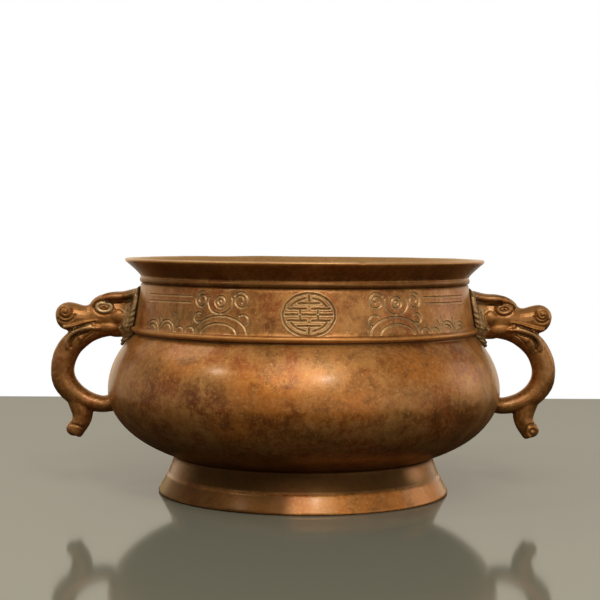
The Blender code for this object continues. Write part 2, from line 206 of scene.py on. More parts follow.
def cloudStrokes():
    # a pair of rules, and small arches and petals springing from the fillet, measured from the eye
    return [
        barStroke((14.4, 14.2), (44.6, 14.0)),
        barStroke((14.6, 11.8), (44.2, 11.5)),
        ovalStroke((13.6, 0.2), 2.3, 2.3, 178, 2),
        ovalStroke((19.2, 0.2), 2.2, 2.1, 178, 2),
        ovalStroke((27.4, 0.2), 5.1, 4.3, 178, 2),
        ovalStroke((27.2, 0.2), 3.0, 2.9, 178, 2),
        ovalStroke((38.0, 0.2), 5.0, 3.7, 178, 16),
        ovalStroke((38.0, 0.2), 2.8, 2.1, 178, 16),
        barStroke((20.6, 5.2), (22.4, 3.0)),
        barStroke((23.4, 6.4), (24.2, 4.6)),
        barStroke((31.8, 5.6), (31.2, 4.0)),
        barStroke((34.2, 5.0), (33.4, 3.0)),
    ]


def frontAndBackStrokes():
    # every stroke with the angle of its motif, and its strength
    placed = [(0.0, 1, path, 1.0) for path in roundelStrokes()]
    for side in (1, -1):
        clouds = cloudStrokes()
        kinds = {"eyeStrength": eyeStrokes(), "ruleStrength": clouds[:2], "petalStrength": clouds[2:]}
        for force, paths in kinds.items():
            placed += [(side * band["eyeAngle"], side, path, band[force]) for path in paths]
    plain = [ovalStroke((0, band["roundelUp"]), band["roundelWide"], band["roundelTall"], 0, 360)]
    plain += [barStroke((-5.8, up), (5.8, up)) for up in (5.4, 8.15, 10.9)]
    placed += [(180.0, 1, path, band["backStrength"]) for path in plain]
    for side in (1, -1):
        kept = cloudStrokes()[:2] + eyeStrokes()[6:8]
        placed += [(180.0 + side * band["eyeAngle"], side, path, band["backStrength"]) for path in kept]
    return placed


def strokeReach(points):
    # for points near the band: nearest stroke in millimetres, and that stroke's strength
    turn = np.degrees(np.arctan2(points[:, 0], -points[:, 1]))
    up = points[:, 2] - band["low"]
    best = np.full(len(points), 1e9)
    strength = np.ones(len(points))
    for angle, side, path, force in frontAndBackStrokes():
        around = (turn - angle + 180.0) % 360.0 - 180.0
        along = np.radians(around) * band["lowRadius"] * side
        low, high = path.min(0) - 3.0, path.max(0) + 3.0
        near = (along > low[0]) & (along < high[0]) & (up > low[1]) & (up < high[1])
        if not near.any():
            continue
        flat = np.column_stack((along[near], up[near]))
        shake = np.column_stack((np.sin(flat[:, 1] * 1.7 + angle), np.sin(flat[:, 0] * 1.3 + angle)))
        flat = flat + band["waver"] * shake
        gap = distanceToPath(flat, path)
        closer = gap < best[near]
        where = np.flatnonzero(near)[closer]
        best[where] = gap[closer]
        strength[where] = force
    return best, strength


# the leaf-shaped collar behind each head, in rows (level, half width, thickness) from its lower tip up
collarRows = [
    (60.6, 1.4, 1.0), (62.2, 3.6, 1.6), (64.8, 6.4, 2.2), (68.0, 8.8, 2.5), (71.0, 10.2, 2.5),
    (75.0, 10.9, 2.4), (79.0, 11.0, 2.2), (82.2, 10.2, 1.8), (84.4, 8.4, 1.2), (85.8, 6.0, 0.5),
]

# the bowl

bowl = {
    "rimRadius": 75.0, "neckTop": 89.9, "bellyRadius": 82.0, "widest": 42.84,
    "shoulderRadius": 70.4, "shoulder": 66.7, "waistRadius": 54.2, "waist": 15.7,
    "arrisRadius": 57.0, "arris": 7.4, "footRadius": 60.8, "wall": 3.2,
    "steps": 256, "refine": (2.2, 1.3, 0.88), "dent": 0.16,
}


# patina on the belly: degrees to the right of the front, level, half width in degrees, half height, strength
darkStains = [
    (-29.6, 44.5, 9.0, 8.0, 0.95), (-48.4, 44.0, 9.0, 12.0, 0.7), (-50.0, 33.0, 13.0, 7.0, 0.6),
    (-5.1, 42.5, 5.0, 5.0, 0.8), (-12.4, 37.5, 4.5, 4.5, 0.8), (51.0, 37.6, 9.0, 8.0, 0.75),
    (33.7, 36.5, 8.0, 4.5, 0.65), (61.0, 62.0, 7.0, 5.0, 0.4),
]
amberStains = [
    (-11.8, 48.0, 12.0, 9.5, 0.9), (-20.0, 35.6, 8.0, 6.5, 0.8), (3.0, 42.5, 8.0, 5.0, 0.7),
    (34.3, 58.0, 14.0, 8.0, 0.9), (10.3, 44.5, 11.0, 6.0, 0.8), (-40.0, 58.0, 9.0, 6.0, 0.6),
]


def belly(endRadius, endLevel, wall, centre, count):
    # an elliptical arc from one end of the belly to its widest level, about a centre at some radius
    widest, middle = bowl["bellyRadius"] - wall, bowl["widest"]
    across = (endRadius - centre) / (widest - centre)
    tall = (endLevel - middle) / math.sqrt(1.0 - across * across)
    first = math.asin((endLevel - middle) / tall)
    turns = first * (1.0 - np.arange(count) / count)
    return [(centre + (widest - centre) * math.cos(t), middle + tall * math.sin(t)) for t in turns]


def outerOutline():
    # from the top of the lip down to the edge of the foot
    b = bowl
    path = [(74.1, drawnHeight), (74.65, 97.42), (74.95, 97.15), (75.0, 96.8), (74.85, 96.45)]
    for share in np.linspace(0.95, 0.0, 10):
        path.append((band["topRadius"] + (b["rimRadius"] - band["topRadius"]) * share ** 1.25,
                     b["neckTop"] + 6.5 * share))
    path += [(68.56, 89.72), (68.8, 89.45), (68.93, 89.0), (68.94, 88.5), (68.83, 88.05), (68.58, 87.75),
             (68.15, 87.5), (67.85, 87.3), (68.1, 87.1)]
    for share in np.linspace(0.985, 0.012, 13):
        path.append((band["lowRadius"] + (band["topRadius"] - band["lowRadius"]) * share,
                     band["low"] + (band["high"] - band["low"]) * share))
    path += [(71.35, 69.5), (71.95, 69.42), (72.45, 69.1), (72.7, 68.6), (72.72, 68.0), (72.5, 67.45),
             (72.0, 67.08), (71.2, 66.9), (70.5, 66.82)]
    path += belly(b["shoulderRadius"], b["shoulder"], 0.0, b["shoulderRadius"] * 0.43, 20)
    path.append((b["bellyRadius"], b["widest"]))
    path += list(reversed(belly(b["waistRadius"], b["waist"], 0.0, b["waistRadius"] * 0.47, 26)))
    for share in np.linspace(0.08, 1.0, 8):
        path.append((b["waistRadius"] + (b["arrisRadius"] - b["waistRadius"]) * share ** 1.2,
                     b["waist"] - (b["waist"] - b["arris"]) * share))
    start = b["arrisRadius"] + 0.35
    for share in np.linspace(0.0, 1.0, 9):
        path.append((start + (b["footRadius"] - start) * share ** 1.1, b["arris"] * (0.96 - 0.86 * share)))
    path += [(60.76, 0.35), (60.55, 0.08), (60.3, 0.0)]
    return path


def underOutline():
    # from the foot's inner edge up to the middle of the underside
    return [(57.6, 0.0), (56.8, 0.15), (56.4, 0.6), (55.2, 2.6), (53.6, 5.4), (51.6, 9.0), (50.4, 11.2),
            (49.0, 12.0), (46.0, 11.7), (40.0, 11.1), (30.0, 10.9), (18.0, 10.8), (8.0, 10.8), (0.0, 10.8)]


def innerOutline():
    # from the middle of the floor up to the lip
    b = bowl
    path = [(0.0, 14.1), (8.0, 14.1), (18.0, 14.15), (25.4, 14.3)]
    path.append((b["waistRadius"] - b["wall"] - 12.0, b["waist"] + 0.6))
    path += belly(b["waistRadius"] - b["wall"], b["waist"] + b["wall"], b["wall"], 25.5, 14)
    path.append((b["bellyRadius"] - b["wall"], b["widest"]))
    path += list(reversed(belly(b["shoulderRadius"] - b["wall"] * 0.7, b["shoulder"] - b["wall"], b["wall"],
                                b["shoulderRadius"] * 0.43, 9)))
    path += [(68.0, 66.0), (67.9, 69.0), (67.2, 75.0), (66.2, 82.0), (65.3, 88.0), (65.4, 89.6), (66.3, 91.2),
             (68.4, 93.2), (71.0, 95.2), (72.7, 96.6), (73.4, 97.3)]
    return path


def spinOutline(name, path, steps):
    # a point is drawn out along the outline, then spun round the axis
    deselectAll()
    bpy.ops.mesh.primitive_plane_add(size=unit, location=(0, 0, 0))
    piece = bpy.context.object
    piece.name = name
    editMode()
    bpy.ops.mesh.select_all(action="SELECT")
    bpy.ops.mesh.merge(type="CENTER")
    bpy.ops.transform.translate(value=(path[0][0] * unit, 0, path[0][1] * unit))
    for before, after in zip(path, path[1:]):
        move = ((after[0] - before[0]) * unit, 0, (after[1] - before[1]) * unit)
        bpy.ops.mesh.extrude_vertices_move(TRANSFORM_OT_translate={"value": move})
    bpy.ops.mesh.select_all(action="SELECT")
    bpy.ops.mesh.spin(steps=steps, angle=math.tau, center=(0, 0, 0), axis=(0, 0, 1))
    bpy.ops.mesh.select_all(action="SELECT")
    bpy.ops.mesh.remove_doubles(threshold=0.02 * unit)
    bpy.ops.mesh.normals_make_consistent(inside=False)
    objectMode()
    return piece


def refineBand(piece):
    # faces near a stroke are cut finer, so that the lines are true geometry
    for reach in bowl["refine"]:
        centres = faceCentres(piece)
        radius, level = np.hypot(centres[:, 0], centres[:, 1]), centres[:, 2]
        outside = (level > band["low"] + 0.1) & (level < band["high"] - 0.2) & (radius > 67.9)
        chosen = np.zeros(len(centres), bool)
        gap = strokeReach(centres[outside])[0]
        chosen[np.flatnonzero(outside)[gap < reach]] = True
        cutFaces(piece, chosen)


# pits on the belly: degrees to the right of the front, level, half width, depth
bellyPits = [
    (39.0, 50.0, 0.9, 0.42), (59.0, 50.0, 0.8, 0.3), (-30.0, 36.0, 0.7, 0.25),
    (8.0, 30.0, 0.7, 0.25), (131.0, 50.0, 1.2, 0.4), (-148.0, 38.0, 1.0, 0.35),
]
# a stretch is how many millimetres one degree round the bowl, or one up, counts for
damage = {
    "nickTurn": 15.6, "nickLevel": 97.4, "nickSize": 1.6, "nickDepth": 0.5, "nickStretch": (1.25, 1.2),
    "patchTurn": -62.0, "patchLevel": 53.0, "patchSize": 7.0, "patchDepth": 0.1, "patchRipple": 0.12,
    "patchStretch": 1.4, "pitStretch": 1.42,
}


def turned(points):
    # radius, level (a view that follows moved points), degrees to the right of the front, and way out
    radius = np.hypot(points[:, 0], points[:, 1])
    out = points[:, :2] / np.maximum(radius, 1e-6)[:, None]
    return radius, points[:, 2], np.degrees(np.arctan2(points[:, 0], -points[:, 1])), out


def cutStrokes(points, radius, level, out):
    # sinks the strokes into the band, and gives the dust beside them and the dirt in their bottoms
    onBand = (level > band["low"] + 0.15) & (level < band["high"] - 0.25) & (radius > 67.9)
    gap, strength = strokeReach(points[onBand])
    cone = band["lowRadius"] + (band["topRadius"] - band["lowRadius"]) * (
        (level[onBand] - band["low"]) / (band["high"] - band["low"]))
    half = band["lineWidth"] / 2
    sink = band["lineDepth"] * strength * bell(gap / (half * 1.15))
    burr = band["burr"] * strength * bell((gap - half * 1.7) / (half * 0.9))
    points[onBand, :2] = out[onBand] * (cone - sink + burr)[:, None]
    dustAndSheen = np.zeros(len(points))
    beside = bell((gap - half * 1.25) / (half * 1.15))
    filled = np.where(strength > 0.9, beside, np.maximum(bell(gap / (half * 1.3)), 0.35 * beside))
    dustAndSheen[onBand] = filled * (0.35 + 0.65 * ramp(strength, 0.3, 0.6))
    cut = np.zeros(len(points))
    cut[onBand] = bell(gap / (half * 0.8)) * ramp(strength, 0.85, 1.0)
    return dustAndSheen, cut


def dentBowl(points, ways, radius, level, turn):
    # slow unevenness of the casting, none on the flat foot, then the rim's nick, a worn patch and pits
    free = (level > 0.6) & (radius > 30.0)
    slow = roughness(points[free], 21.0, 3.0) * bowl["dent"]
    slow = slow + roughness(points[free], 7.0, 9.0) * bowl["dent"] * 0.3
    points[free] += ways[free] * slow[:, None]
    waver = np.zeros(len(points))
    waver[free] = slow / bowl["dent"]
    around, tall = damage["nickStretch"]
    reach = np.hypot((turn - damage["nickTurn"]) * around, (level - damage["nickLevel"]) * tall)
    points[:, 2] -= damage["nickDepth"] * bell(reach / damage["nickSize"]) * (radius > 73.0)
    reach = np.hypot((turn - damage["patchTurn"]) * damage["patchStretch"], level - damage["patchLevel"])
    patch = bell(reach / damage["patchSize"]) * (radius > 74.0)
    ripple = damage["patchDepth"] + damage["patchRipple"] * np.sin(turn * 2.3) * np.sin(level * 2.1)
    points[patch > 0] -= (ways * (patch * ripple)[:, None])[patch > 0]
    for angle, up, size, depth in bellyPits:
        reach = np.hypot((turn - angle) * damage["pitStretch"], level - up)
        points -= ways * (depth * bell(reach / size) * (radius > 74.0))[:, None]
    return waver


def stainsOf(rows, turn, level, waver, outside):
    # each patch is repeated on the back, with an edge that wavers
    made = np.zeros(len(turn))
    for angle, up, wide, tall, force in rows:
        around = (turn - angle + 90.0) % 180.0 - 90.0
        reach = np.hypot(around / wide, (level - up) / tall) + 0.35 * waver
        made = np.maximum(made, force * (1.0 - ramp(reach, 0.35, 1.25)) * outside)
    return made


def solderOf(radius, level, away, outer):
    # painted shade along the joint beside each collar, and the green round the handles' two seats; away is
    # degrees from the seat
    rows = np.array(collarRows)
    past = np.radians(away) * radius - np.interp(level, rows[:, 0], rows[:, 1])
    joint = (1.0 - ramp(past, 0.2, 1.9)) * outer * (level > 59.5) * (level < 87.0)
    seat = bell(away / 16.0) * bell((level - 74.0) / 17.0) * (radius > 67.0)
    return joint, np.maximum(seat, bell(away / 7.0) * bell((level - 37.0) / 7.0) * (radius > 76.0))


def paintBowl(piece, facing, radius, level, turn, dustAndSheen, cut, waver):
    # levels are millimetres over the table, turns degrees to the right of the front
    outer = (radius > 67.5) & (facing > -0.2)
    inside = (level > 13.0) & ((facing < -0.02) | (radius < 47.0))
    away = np.abs(np.abs(turn) - 90.0)
    ahead = np.minimum(np.abs(turn), 180.0 - np.abs(turn))
    joint, seat = solderOf(radius, level, away, outer)
    shaped = (radius > 55.0) & (facing > 0.0)
    base = (1.0 - ramp(level, 6.8, 7.6)) * (radius > 57.0)  # the foot below its arris
    wall = ramp(level, 7.0, 7.8) * (1.0 - ramp(level, 14.0, 17.5)) * (radius > 52.0) * (facing > 0.0)
    wall *= 1.0 - ramp(ahead, 48.0, 76.0)  # painted shade on the foot over its arris, front and back
    flanks = (1.0 - ramp(away, 10.0, 24.0)) * ramp(-level, -14.5, -12.5) * shaped  # painted rim light on its two ends
    gleam = bell((turn - 55.0) / 12.0) * bell((level - 12.5) / 6.0)  # a painted highlight on its right
    mouth = (facing < 0.0) * ramp(level, 92.5, 95.0)  # inner slope of the lip
    # grime, and painted shade in grooves, under overhangs and on the foot
    grimeAndShade = [
        bell((level - 87.35) / 0.8) * outer,  # groove over the band
        bell((level - 66.75) / 0.8) * outer * 0.9,  # painted shadow in the groove under the fillet
        cut * 0.6,  # bottoms of the roundel's strokes
        bell((level - 88.6) / 1.7) * outer * (radius > 68.2) * 0.75,  # painted shade on the moulding of the neck
        ramp(level, 89.0, 91.0) * (1.0 - ramp(level, 95.4, 96.8)) * outer * 0.6,  # painted shade under the flared lip
        # painted shade along the joint beside each collar
        joint,
        bell((level - 15.4) / 2.2) * (radius > 50.0) * (facing > -0.2),  # painted shade at the waist, under the belly
        0.40 * ((1.0 - ramp(level, 17.0, 34.0)) * (radius > 50.0) * (level > 14.5)),  # painted shade, darker towards the bottom of the belly
        # painted shade on the foot under the belly, left off at the painted highlight
        wall * (1.0 - 0.85 * gleam),
        0.85 * (base * ramp(-turn, 3.0, 10.0) * (1.0 - ramp(-turn, 120.0, 150.0))),
    ]
    # worn edges, and the painted highlight on the foot's right
    rubbedAndGleam = [
        bell((level - 68.3) / 1.25) * (radius > 71.4) * 0.9,  # fillet
        ramp(level, 95.9, 96.7),  # edge of the lip
        bell((level - 4.0) / 3.6) * (radius > 57.0) * 0.35,  # side of the foot
        bell(level / 1.1) * (radius > 59.5) * 0.8,  # edge that it stands on
        bell((level - 89.0) / 0.7) * (radius > 68.7) * 0.4,  # crest of the neck's moulding
        # the painted highlight on the foot, and the lip's inner slope
        gleam * 0.5, mouth,
    ]
    # pale dust, with a painted highlight on the lip top and painted rim light on the foot's ends
    pale = [
        0.8 * dustAndSheen,
        0.75 * ramp(level, 96.9, 97.3),  # pale dust on the top of the lip, partly a painted highlight
        0.30 * (bell((turn - 68.0) / 15.0) * bell((level - 44.0) / 20.0) * (radius > 70.0)),
        0.4 * mouth, 0.5 * flanks,
        0.5 * inside * (1.0 - ramp(level, 15.0, 27.0)),  # thin ash
    ]
    amber = stainsOf(amberStains, turn, level, waver, shaped)
    paint(piece, "amber", np.maximum(amber, 0.9 * (base * ramp(turn, 8.0, 18.0))))
    paint(piece, "stain", stainsOf(darkStains, turn, level, waver, shaped))
    paint(piece, "dustAndSheen", np.maximum.reduce(pale))
    paint(piece, "grimeAndShade", np.maximum.reduce(grimeAndShade))
    paint(piece, "wearAndGleam", np.maximum.reduce(rubbedAndGleam))
    paint(piece, "soot", inside.astype(float) * ramp(-level, -94.5, -87.0))
    paint(piece, "verdigris", seat)


def makeBowl():
    outline = innerOutline() + outerOutline() + underOutline()
    piece = spinOutline("bronzeBowl", outline, bowl["steps"])
    refineBand(piece)
    points, ways = readPoints(piece)
    radius, level, turn, out = turned(points)
    facing = ways[:, 0] * out[:, 0] + ways[:, 1] * out[:, 1]
    dustAndSheen, cut = cutStrokes(points, radius, level, out)
    waver = dentBowl(points, ways, radius, level, turn)
    writePoints(piece, points)
    paintBowl(piece, facing, radius, level, turn, dustAndSheen, cut, waver)
    activate(piece)
    bpy.ops.object.shade_smooth()
    print("bowl made:", len(piece.data.polygons), "faces")
    return piece


# the handles: every number is in millimetres, out from the axis, across and up, on the right-hand handle

handle = {
    "voxel": 0.38, "soften": 3, "wideSides": 20, "seatGap": 0.22,
    "eye": (83.3, 76.9), "nostril": (99.7, 74.9), "tailEnd": (96.7, 25.0),
    # by side, 1 being the right: the eye's half width and height, its lid, the nostril's curl, the dust
    "eyeSize": {1: (2.7, 1.65), -1: (3.3, 2.1)}, "lidHeight": {1: 0.28, -1: 0.36},
    "curlRadius": {1: 2.4, -1: 3.1}, "eyeDust": {1: 0.2, -1: 0.95},
}

loopBar = [
    (82.0, 0, 68.0, 3.6, 5.4), (86.0, 0, 67.4, 3.9, 5.3), (90.0, 0, 66.3, 4.3, 5.2),
    (94.2, 0, 63.9, 4.7, 5.1), (97.6, 0, 60.8, 4.9, 4.9), (99.9, 0, 57.0, 5.0, 4.8),
    (101.2, 0, 53.0, 5.0, 4.75), (101.4, 0, 49.0, 5.0, 4.7), (100.4, 0, 45.2, 5.0, 4.7),
    (98.2, 0, 41.9, 4.9, 4.65), (95.0, 0, 39.2, 4.5, 4.6), (91.2, 0, 37.3, 4.1, 4.5),
    (87.2, 0, 36.3, 3.7, 4.5), (83.6, 0, 35.9, 3.5, 4.7), (80.3, 0, 36.7, 3.7, 5.2),
]
tailBar = [
    (97.8, 0, 42.4, 3.2, 3.4), (95.4, 0, 38.6, 4.4, 4.1), (93.6, 0, 34.6, 4.6, 4.2),
    (93.0, 0, 31.4, 4.4, 4.1), (93.7, 0, 28.6, 4.05, 4.0), (95.1, 0, 26.2, 3.8, 3.9),
    (96.4, 0, 24.2, 3.75, 3.8), (96.9, 0, 23.4, 3.2, 3.3),
]
skullBar = [
    (70.4, 0, 74.4, 10.4, 8.6), (72.2, 0, 74.3, 9.9, 7.2), (74.2, 0, 74.0, 9.6, 6.2),
    (76.6, 0, 73.6, 9.5, 6.0), (79.4, 0, 73.5, 9.4, 6.2), (82.6, 0, 73.8, 8.8, 6.3),
    (85.4, 0, 73.2, 7.9, 6.2), (87.8, 0, 72.4, 6.7, 5.9), (90.2, 0, 72.0, 5.7, 5.5),
    (93.0, 0, 72.1, 5.3, 5.3), (96.0, 0, 72.5, 5.7, 5.5), (99.0, 0, 72.7, 6.1, 5.7),
    (101.4, 0, 72.4, 5.4, 5.2), (103.0, 0, 72.1, 4.1, 4.1), (103.9, 0, 71.9, 2.4, 2.6),
]
browBar = [
    (69.6, 5.4, 83.6, 1.5, 2.4), (72.4, 5.2, 82.3, 1.8, 2.6), (76.0, 5.0, 81.4, 1.9, 2.5),
    (80.0, 5.2, 81.2, 1.9, 2.2), (83.6, 5.3, 80.7, 1.8, 1.9), (86.0, 5.2, 79.2, 1.5, 1.6),
    (88.2, 4.6, 77.4, 1.1, 1.2),
]
crownBar = [
    (69.8, 0, 83.2, 1.6, 5.4), (72.6, 0, 81.8, 1.8, 5.2), (76.0, 0, 80.6, 1.9, 5.2),
    (80.0, 0, 80.4, 1.9, 5.2), (83.6, 0, 80.2, 1.9, 5.0), (86.6, 0, 78.4, 1.8, 4.6),
]
lipBar = [
    (86.8, 5.2, 68.2, 0.8, 1.1), (89.4, 5.4, 68.3, 1.1, 1.3), (92.4, 5.4, 67.8, 1.2, 1.3),
    (95.4, 5.2, 66.7, 1.2, 1.3), (98.0, 5.0, 64.7, 1.1, 1.2), (99.2, 4.8, 62.0, 1.0, 1.1),
    (98.8, 4.5, 59.4, 0.8, 0.9),
]
upperLipBar = [
    (86.0, 5.3, 71.6, 0.7, 0.9), (90.0, 5.1, 70.6, 0.9, 1.0), (94.0, 5.0, 69.5, 0.9, 1.0),
    (98.0, 4.9, 68.6, 0.9, 0.9), (100.8, 4.2, 68.4, 0.8, 0.8),
]
# the ruff's locks run down along the collar: (out from the bowl, across, up, half thick, half deep)
locks = [
    [(0.9, 10.5, 79.4, 0.5, 0.5), (1.3, 10.6, 77.4, 0.8, 0.8), (1.4, 10.5, 75.0, 0.8, 0.9),
     (1.8, 9.3, 70.6, 0.9, 0.9), (1.4, 7.0, 66.4, 0.8, 0.9), (1.3, 4.4, 62.8, 0.8, 0.8),
     (1.0, 2.2, 60.9, 0.5, 0.6)],
    [(2.0, 8.8, 78.0, 0.5, 0.6), (2.6, 8.9, 76.2, 0.8, 0.8), (2.6, 8.7, 73.4, 0.8, 0.9),
     (3.1, 7.6, 69.4, 0.9, 0.9), (2.6, 5.6, 66.0, 0.8, 0.9), (2.4, 3.8, 63.6, 0.7, 0.8),
     (2.0, 2.6, 62.2, 0.4, 0.5)],
    [(3.2, 7.2, 76.0, 0.4, 0.5), (3.9, 7.3, 74.0, 0.7, 0.8), (3.9, 7.0, 71.4, 0.8, 0.8),
     (4.3, 6.2, 68.0, 0.8, 0.8), (3.4, 4.8, 65.2, 0.7, 0.8), (2.8, 3.6, 63.6, 0.4, 0.5)],
]
lumps = [  # place, then half sizes out, across and up, then a tilt in degrees
    (83.3, 5.5, 76.8, 4.0, 1.6, 2.6, 0), (77.6, 5.3, 73.4, 3.4, 1.9, 3.0, 10),
    (99.6, 4.7, 75.0, 3.0, 1.9, 2.9, 0), (86.6, 5.2, 68.2, 2.0, 1.3, 1.2, 0),
    (93.6, 4.7, 64.2, 0.9, 0.8, 1.6, -32), (89.4, 5.3, 70.0, 1.1, 1.1, 1.5, 0),
    (82.0, 4.8, 68.6, 4.2, 1.5, 2.4, 0),
]
tailKnob = (96.4, 0.0, 25.6, 3.4, 3.7, 3.3, 0)


def place(out, across, up):
    return Vector((out, across, up)) * unit


def rounded(stations, times=2):
    # more stations on a smooth curve through the given ones
    given = np.array(stations, float)
    first, last = 2 * given[0] - given[1], 2 * given[-1] - given[-2]
    ends = np.vstack((first, given, last))
    made = []
    for i in range(1, len(given)):
        before, start, end, after = ends[i - 1:i + 3]
        for share in np.arange(times) / times:
            made.append(0.5 * (2 * start + (end - before) * share
                               + (2 * before - 5 * start + 4 * end - after) * share ** 2
                               + (3 * start - before - 3 * end + after) * share ** 3))
    made.append(given[-1])
    return [tuple(float(value) for value in station) for station in made]


def growBar(name, stations, sides=14, times=2):
    # a round face is pushed out, turned and sized along the stations (out, across, up, half thick, half deep)
    stations = rounded(stations, times)
    centres = [place(*s[:3]) for s in stations]
    leans = []
    for i in range(len(centres)):
        run = centres[min(i + 1, len(centres) - 1)] - centres[max(i - 1, 0)]
        leans.append(math.atan2(run.x, run.z))
    deselectAll()
    bpy.ops.mesh.primitive_circle_add(vertices=sides, radius=unit, fill_type="NGON",
                                      location=centres[0], rotation=(0, leans[0], 0))
    piece = bpy.context.object
    piece.name = name
    bpy.ops.object.transform_apply(location=True, rotation=True, scale=True)
    editMode("FACE")
    bpy.ops.mesh.select_all(action="SELECT")
    thick, deep = stations[0][3:]
    bpy.ops.transform.resize(value=(thick, deep, thick), center_override=centres[0])
    for i in range(1, len(stations)):
        move = centres[i] - centres[i - 1]
        bpy.ops.mesh.extrude_region_move(TRANSFORM_OT_translate={"value": move})
        turn = (leans[i] - leans[i - 1] + math.pi) % math.tau - math.pi
        bpy.ops.transform.rotate(value=-turn, orient_axis="Y", center_override=centres[i])
        nextThick, nextDeep = stations[i][3:]
        grow = (nextThick / thick, nextDeep / deep, nextThick / thick)
        bpy.ops.transform.resize(value=grow, center_override=centres[i])
        thick, deep = nextThick, nextDeep
    bpy.ops.mesh.select_all(action="SELECT")
    bpy.ops.mesh.normals_make_consistent(inside=False)
    objectMode()
    return piece


def addLump(name, spot):
    out, across, up, halfOut, halfAcross, halfUp, tilt = spot
    deselectAll()
    bpy.ops.mesh.primitive_ico_sphere_add(subdivisions=3, radius=unit, location=place(out, across, up))
    piece = bpy.context.object
    piece.name = name
    bpy.ops.object.transform_apply(location=True, rotation=True, scale=True)
    editMode()
    bpy.ops.mesh.select_all(action="SELECT")
    centre = place(out, across, up)
    bpy.ops.transform.resize(value=(halfOut, halfAcross, halfUp), center_override=centre)
    if tilt:
        bpy.ops.transform.rotate(value=math.radians(tilt), orient_axis="Y", center_override=centre)
    objectMode()
    return piece


def seatRadius(level):
    # outer radius of the bowl at a level
    path = np.array(outerOutline())[5:]
    return np.interp(level, path[::-1, 1], path[::-1, 0])


def addCollar():
    rows = collarRows
    deselectAll()
    bpy.ops.mesh.primitive_plane_add(size=unit, location=(0, 0, 0))
    piece = bpy.context.object
    piece.name = "collar"
    editMode("FACE")
    bpy.ops.mesh.select_all(action="SELECT")
    level, half, thick = rows[0]
    back = seatRadius(level) + handle["seatGap"]
    bpy.ops.transform.resize(value=(thick, half * 2, 1))
    bpy.ops.transform.translate(value=((back + thick / 2) * unit, 0, level * unit))
    for nextLevel, nextHalf, nextThick in rows[1:]:
        nextBack = seatRadius(nextLevel) + handle["seatGap"]
        move = ((nextBack - back) * unit, 0, (nextLevel - level) * unit)
        bpy.ops.mesh.extrude_region_move(TRANSFORM_OT_translate={"value": move})
        bpy.ops.transform.resize(value=(nextThick / thick, nextHalf / half, 1),
                                 center_override=(nextBack * unit, 0, nextLevel * unit))
        level, half, thick, back = nextLevel, nextHalf, nextThick, nextBack
    bpy.ops.mesh.select_all(action="SELECT")
    bpy.ops.mesh.normals_make_consistent(inside=False)
    objectMode()
    return piece


def makeHandleForm():
    parts = [growBar("loop", loopBar, handle["wideSides"]), growBar("tail", tailBar),
             growBar("skull", skullBar, handle["wideSides"]), growBar("crown", crownBar),
             addCollar(), addLump("knob", tailKnob)]
    for side in (1, -1):
        for name, bar in (("brow", browBar), ("lip", lipBar), ("upperLip", upperLipBar)):
            stations = [(s[0], s[1] * side, s[2], s[3], s[4]) for s in bar]
            parts.append(growBar(name, stations, 10))
        for lock in locks:
            stations = [(float(seatRadius(s[2])) + s[0], s[1] * side) + s[2:] for s in lock]
            parts.append(growBar("lock", stations, 10))
        for spot in lumps:
            parts.append(addLump("lump", (spot[0], spot[1] * side) + spot[2:]))
    deselectAll()
    for part in parts:
        part.select_set(True)
    bpy.context.view_layer.objects.active = parts[0]
    bpy.ops.object.join()
    piece = bpy.context.object
    applyModifier(piece, "REMESH", mode="VOXEL", voxel_size=handle["voxel"] * unit, adaptivity=0.0)
    applyModifier(piece, "SMOOTH", factor=0.5, iterations=handle["soften"])
    print("handle form made:", len(piece.data.polygons), "faces")
    return piece


def refineHead(piece):
    # the sides of the head and the snout are cut finer for the lines on them
    out, across, up = faceCentres(piece).T
    head = (up > 58.0) & (np.abs(across) > 3.2) & (out > 76.0) & ((up > 74.0) | (out > 84.0))
    cutFaces(piece, head)


def ringOf(centre, wide, tall, first=0, last=360):
    turns = np.radians(np.arange(first, last + 1, 10))
    return np.column_stack((centre[0] + wide * np.cos(turns), centre[1] + tall * np.sin(turns)))


def nostrilCurl(centre, outer):
    shares = np.linspace(0, 1, 44)
    turns = np.radians(200 + 480 * shares)
    radii = outer - (outer - 0.7) * shares
    return np.column_stack((centre[0] + radii * np.cos(turns), centre[1] + radii * np.sin(turns)))


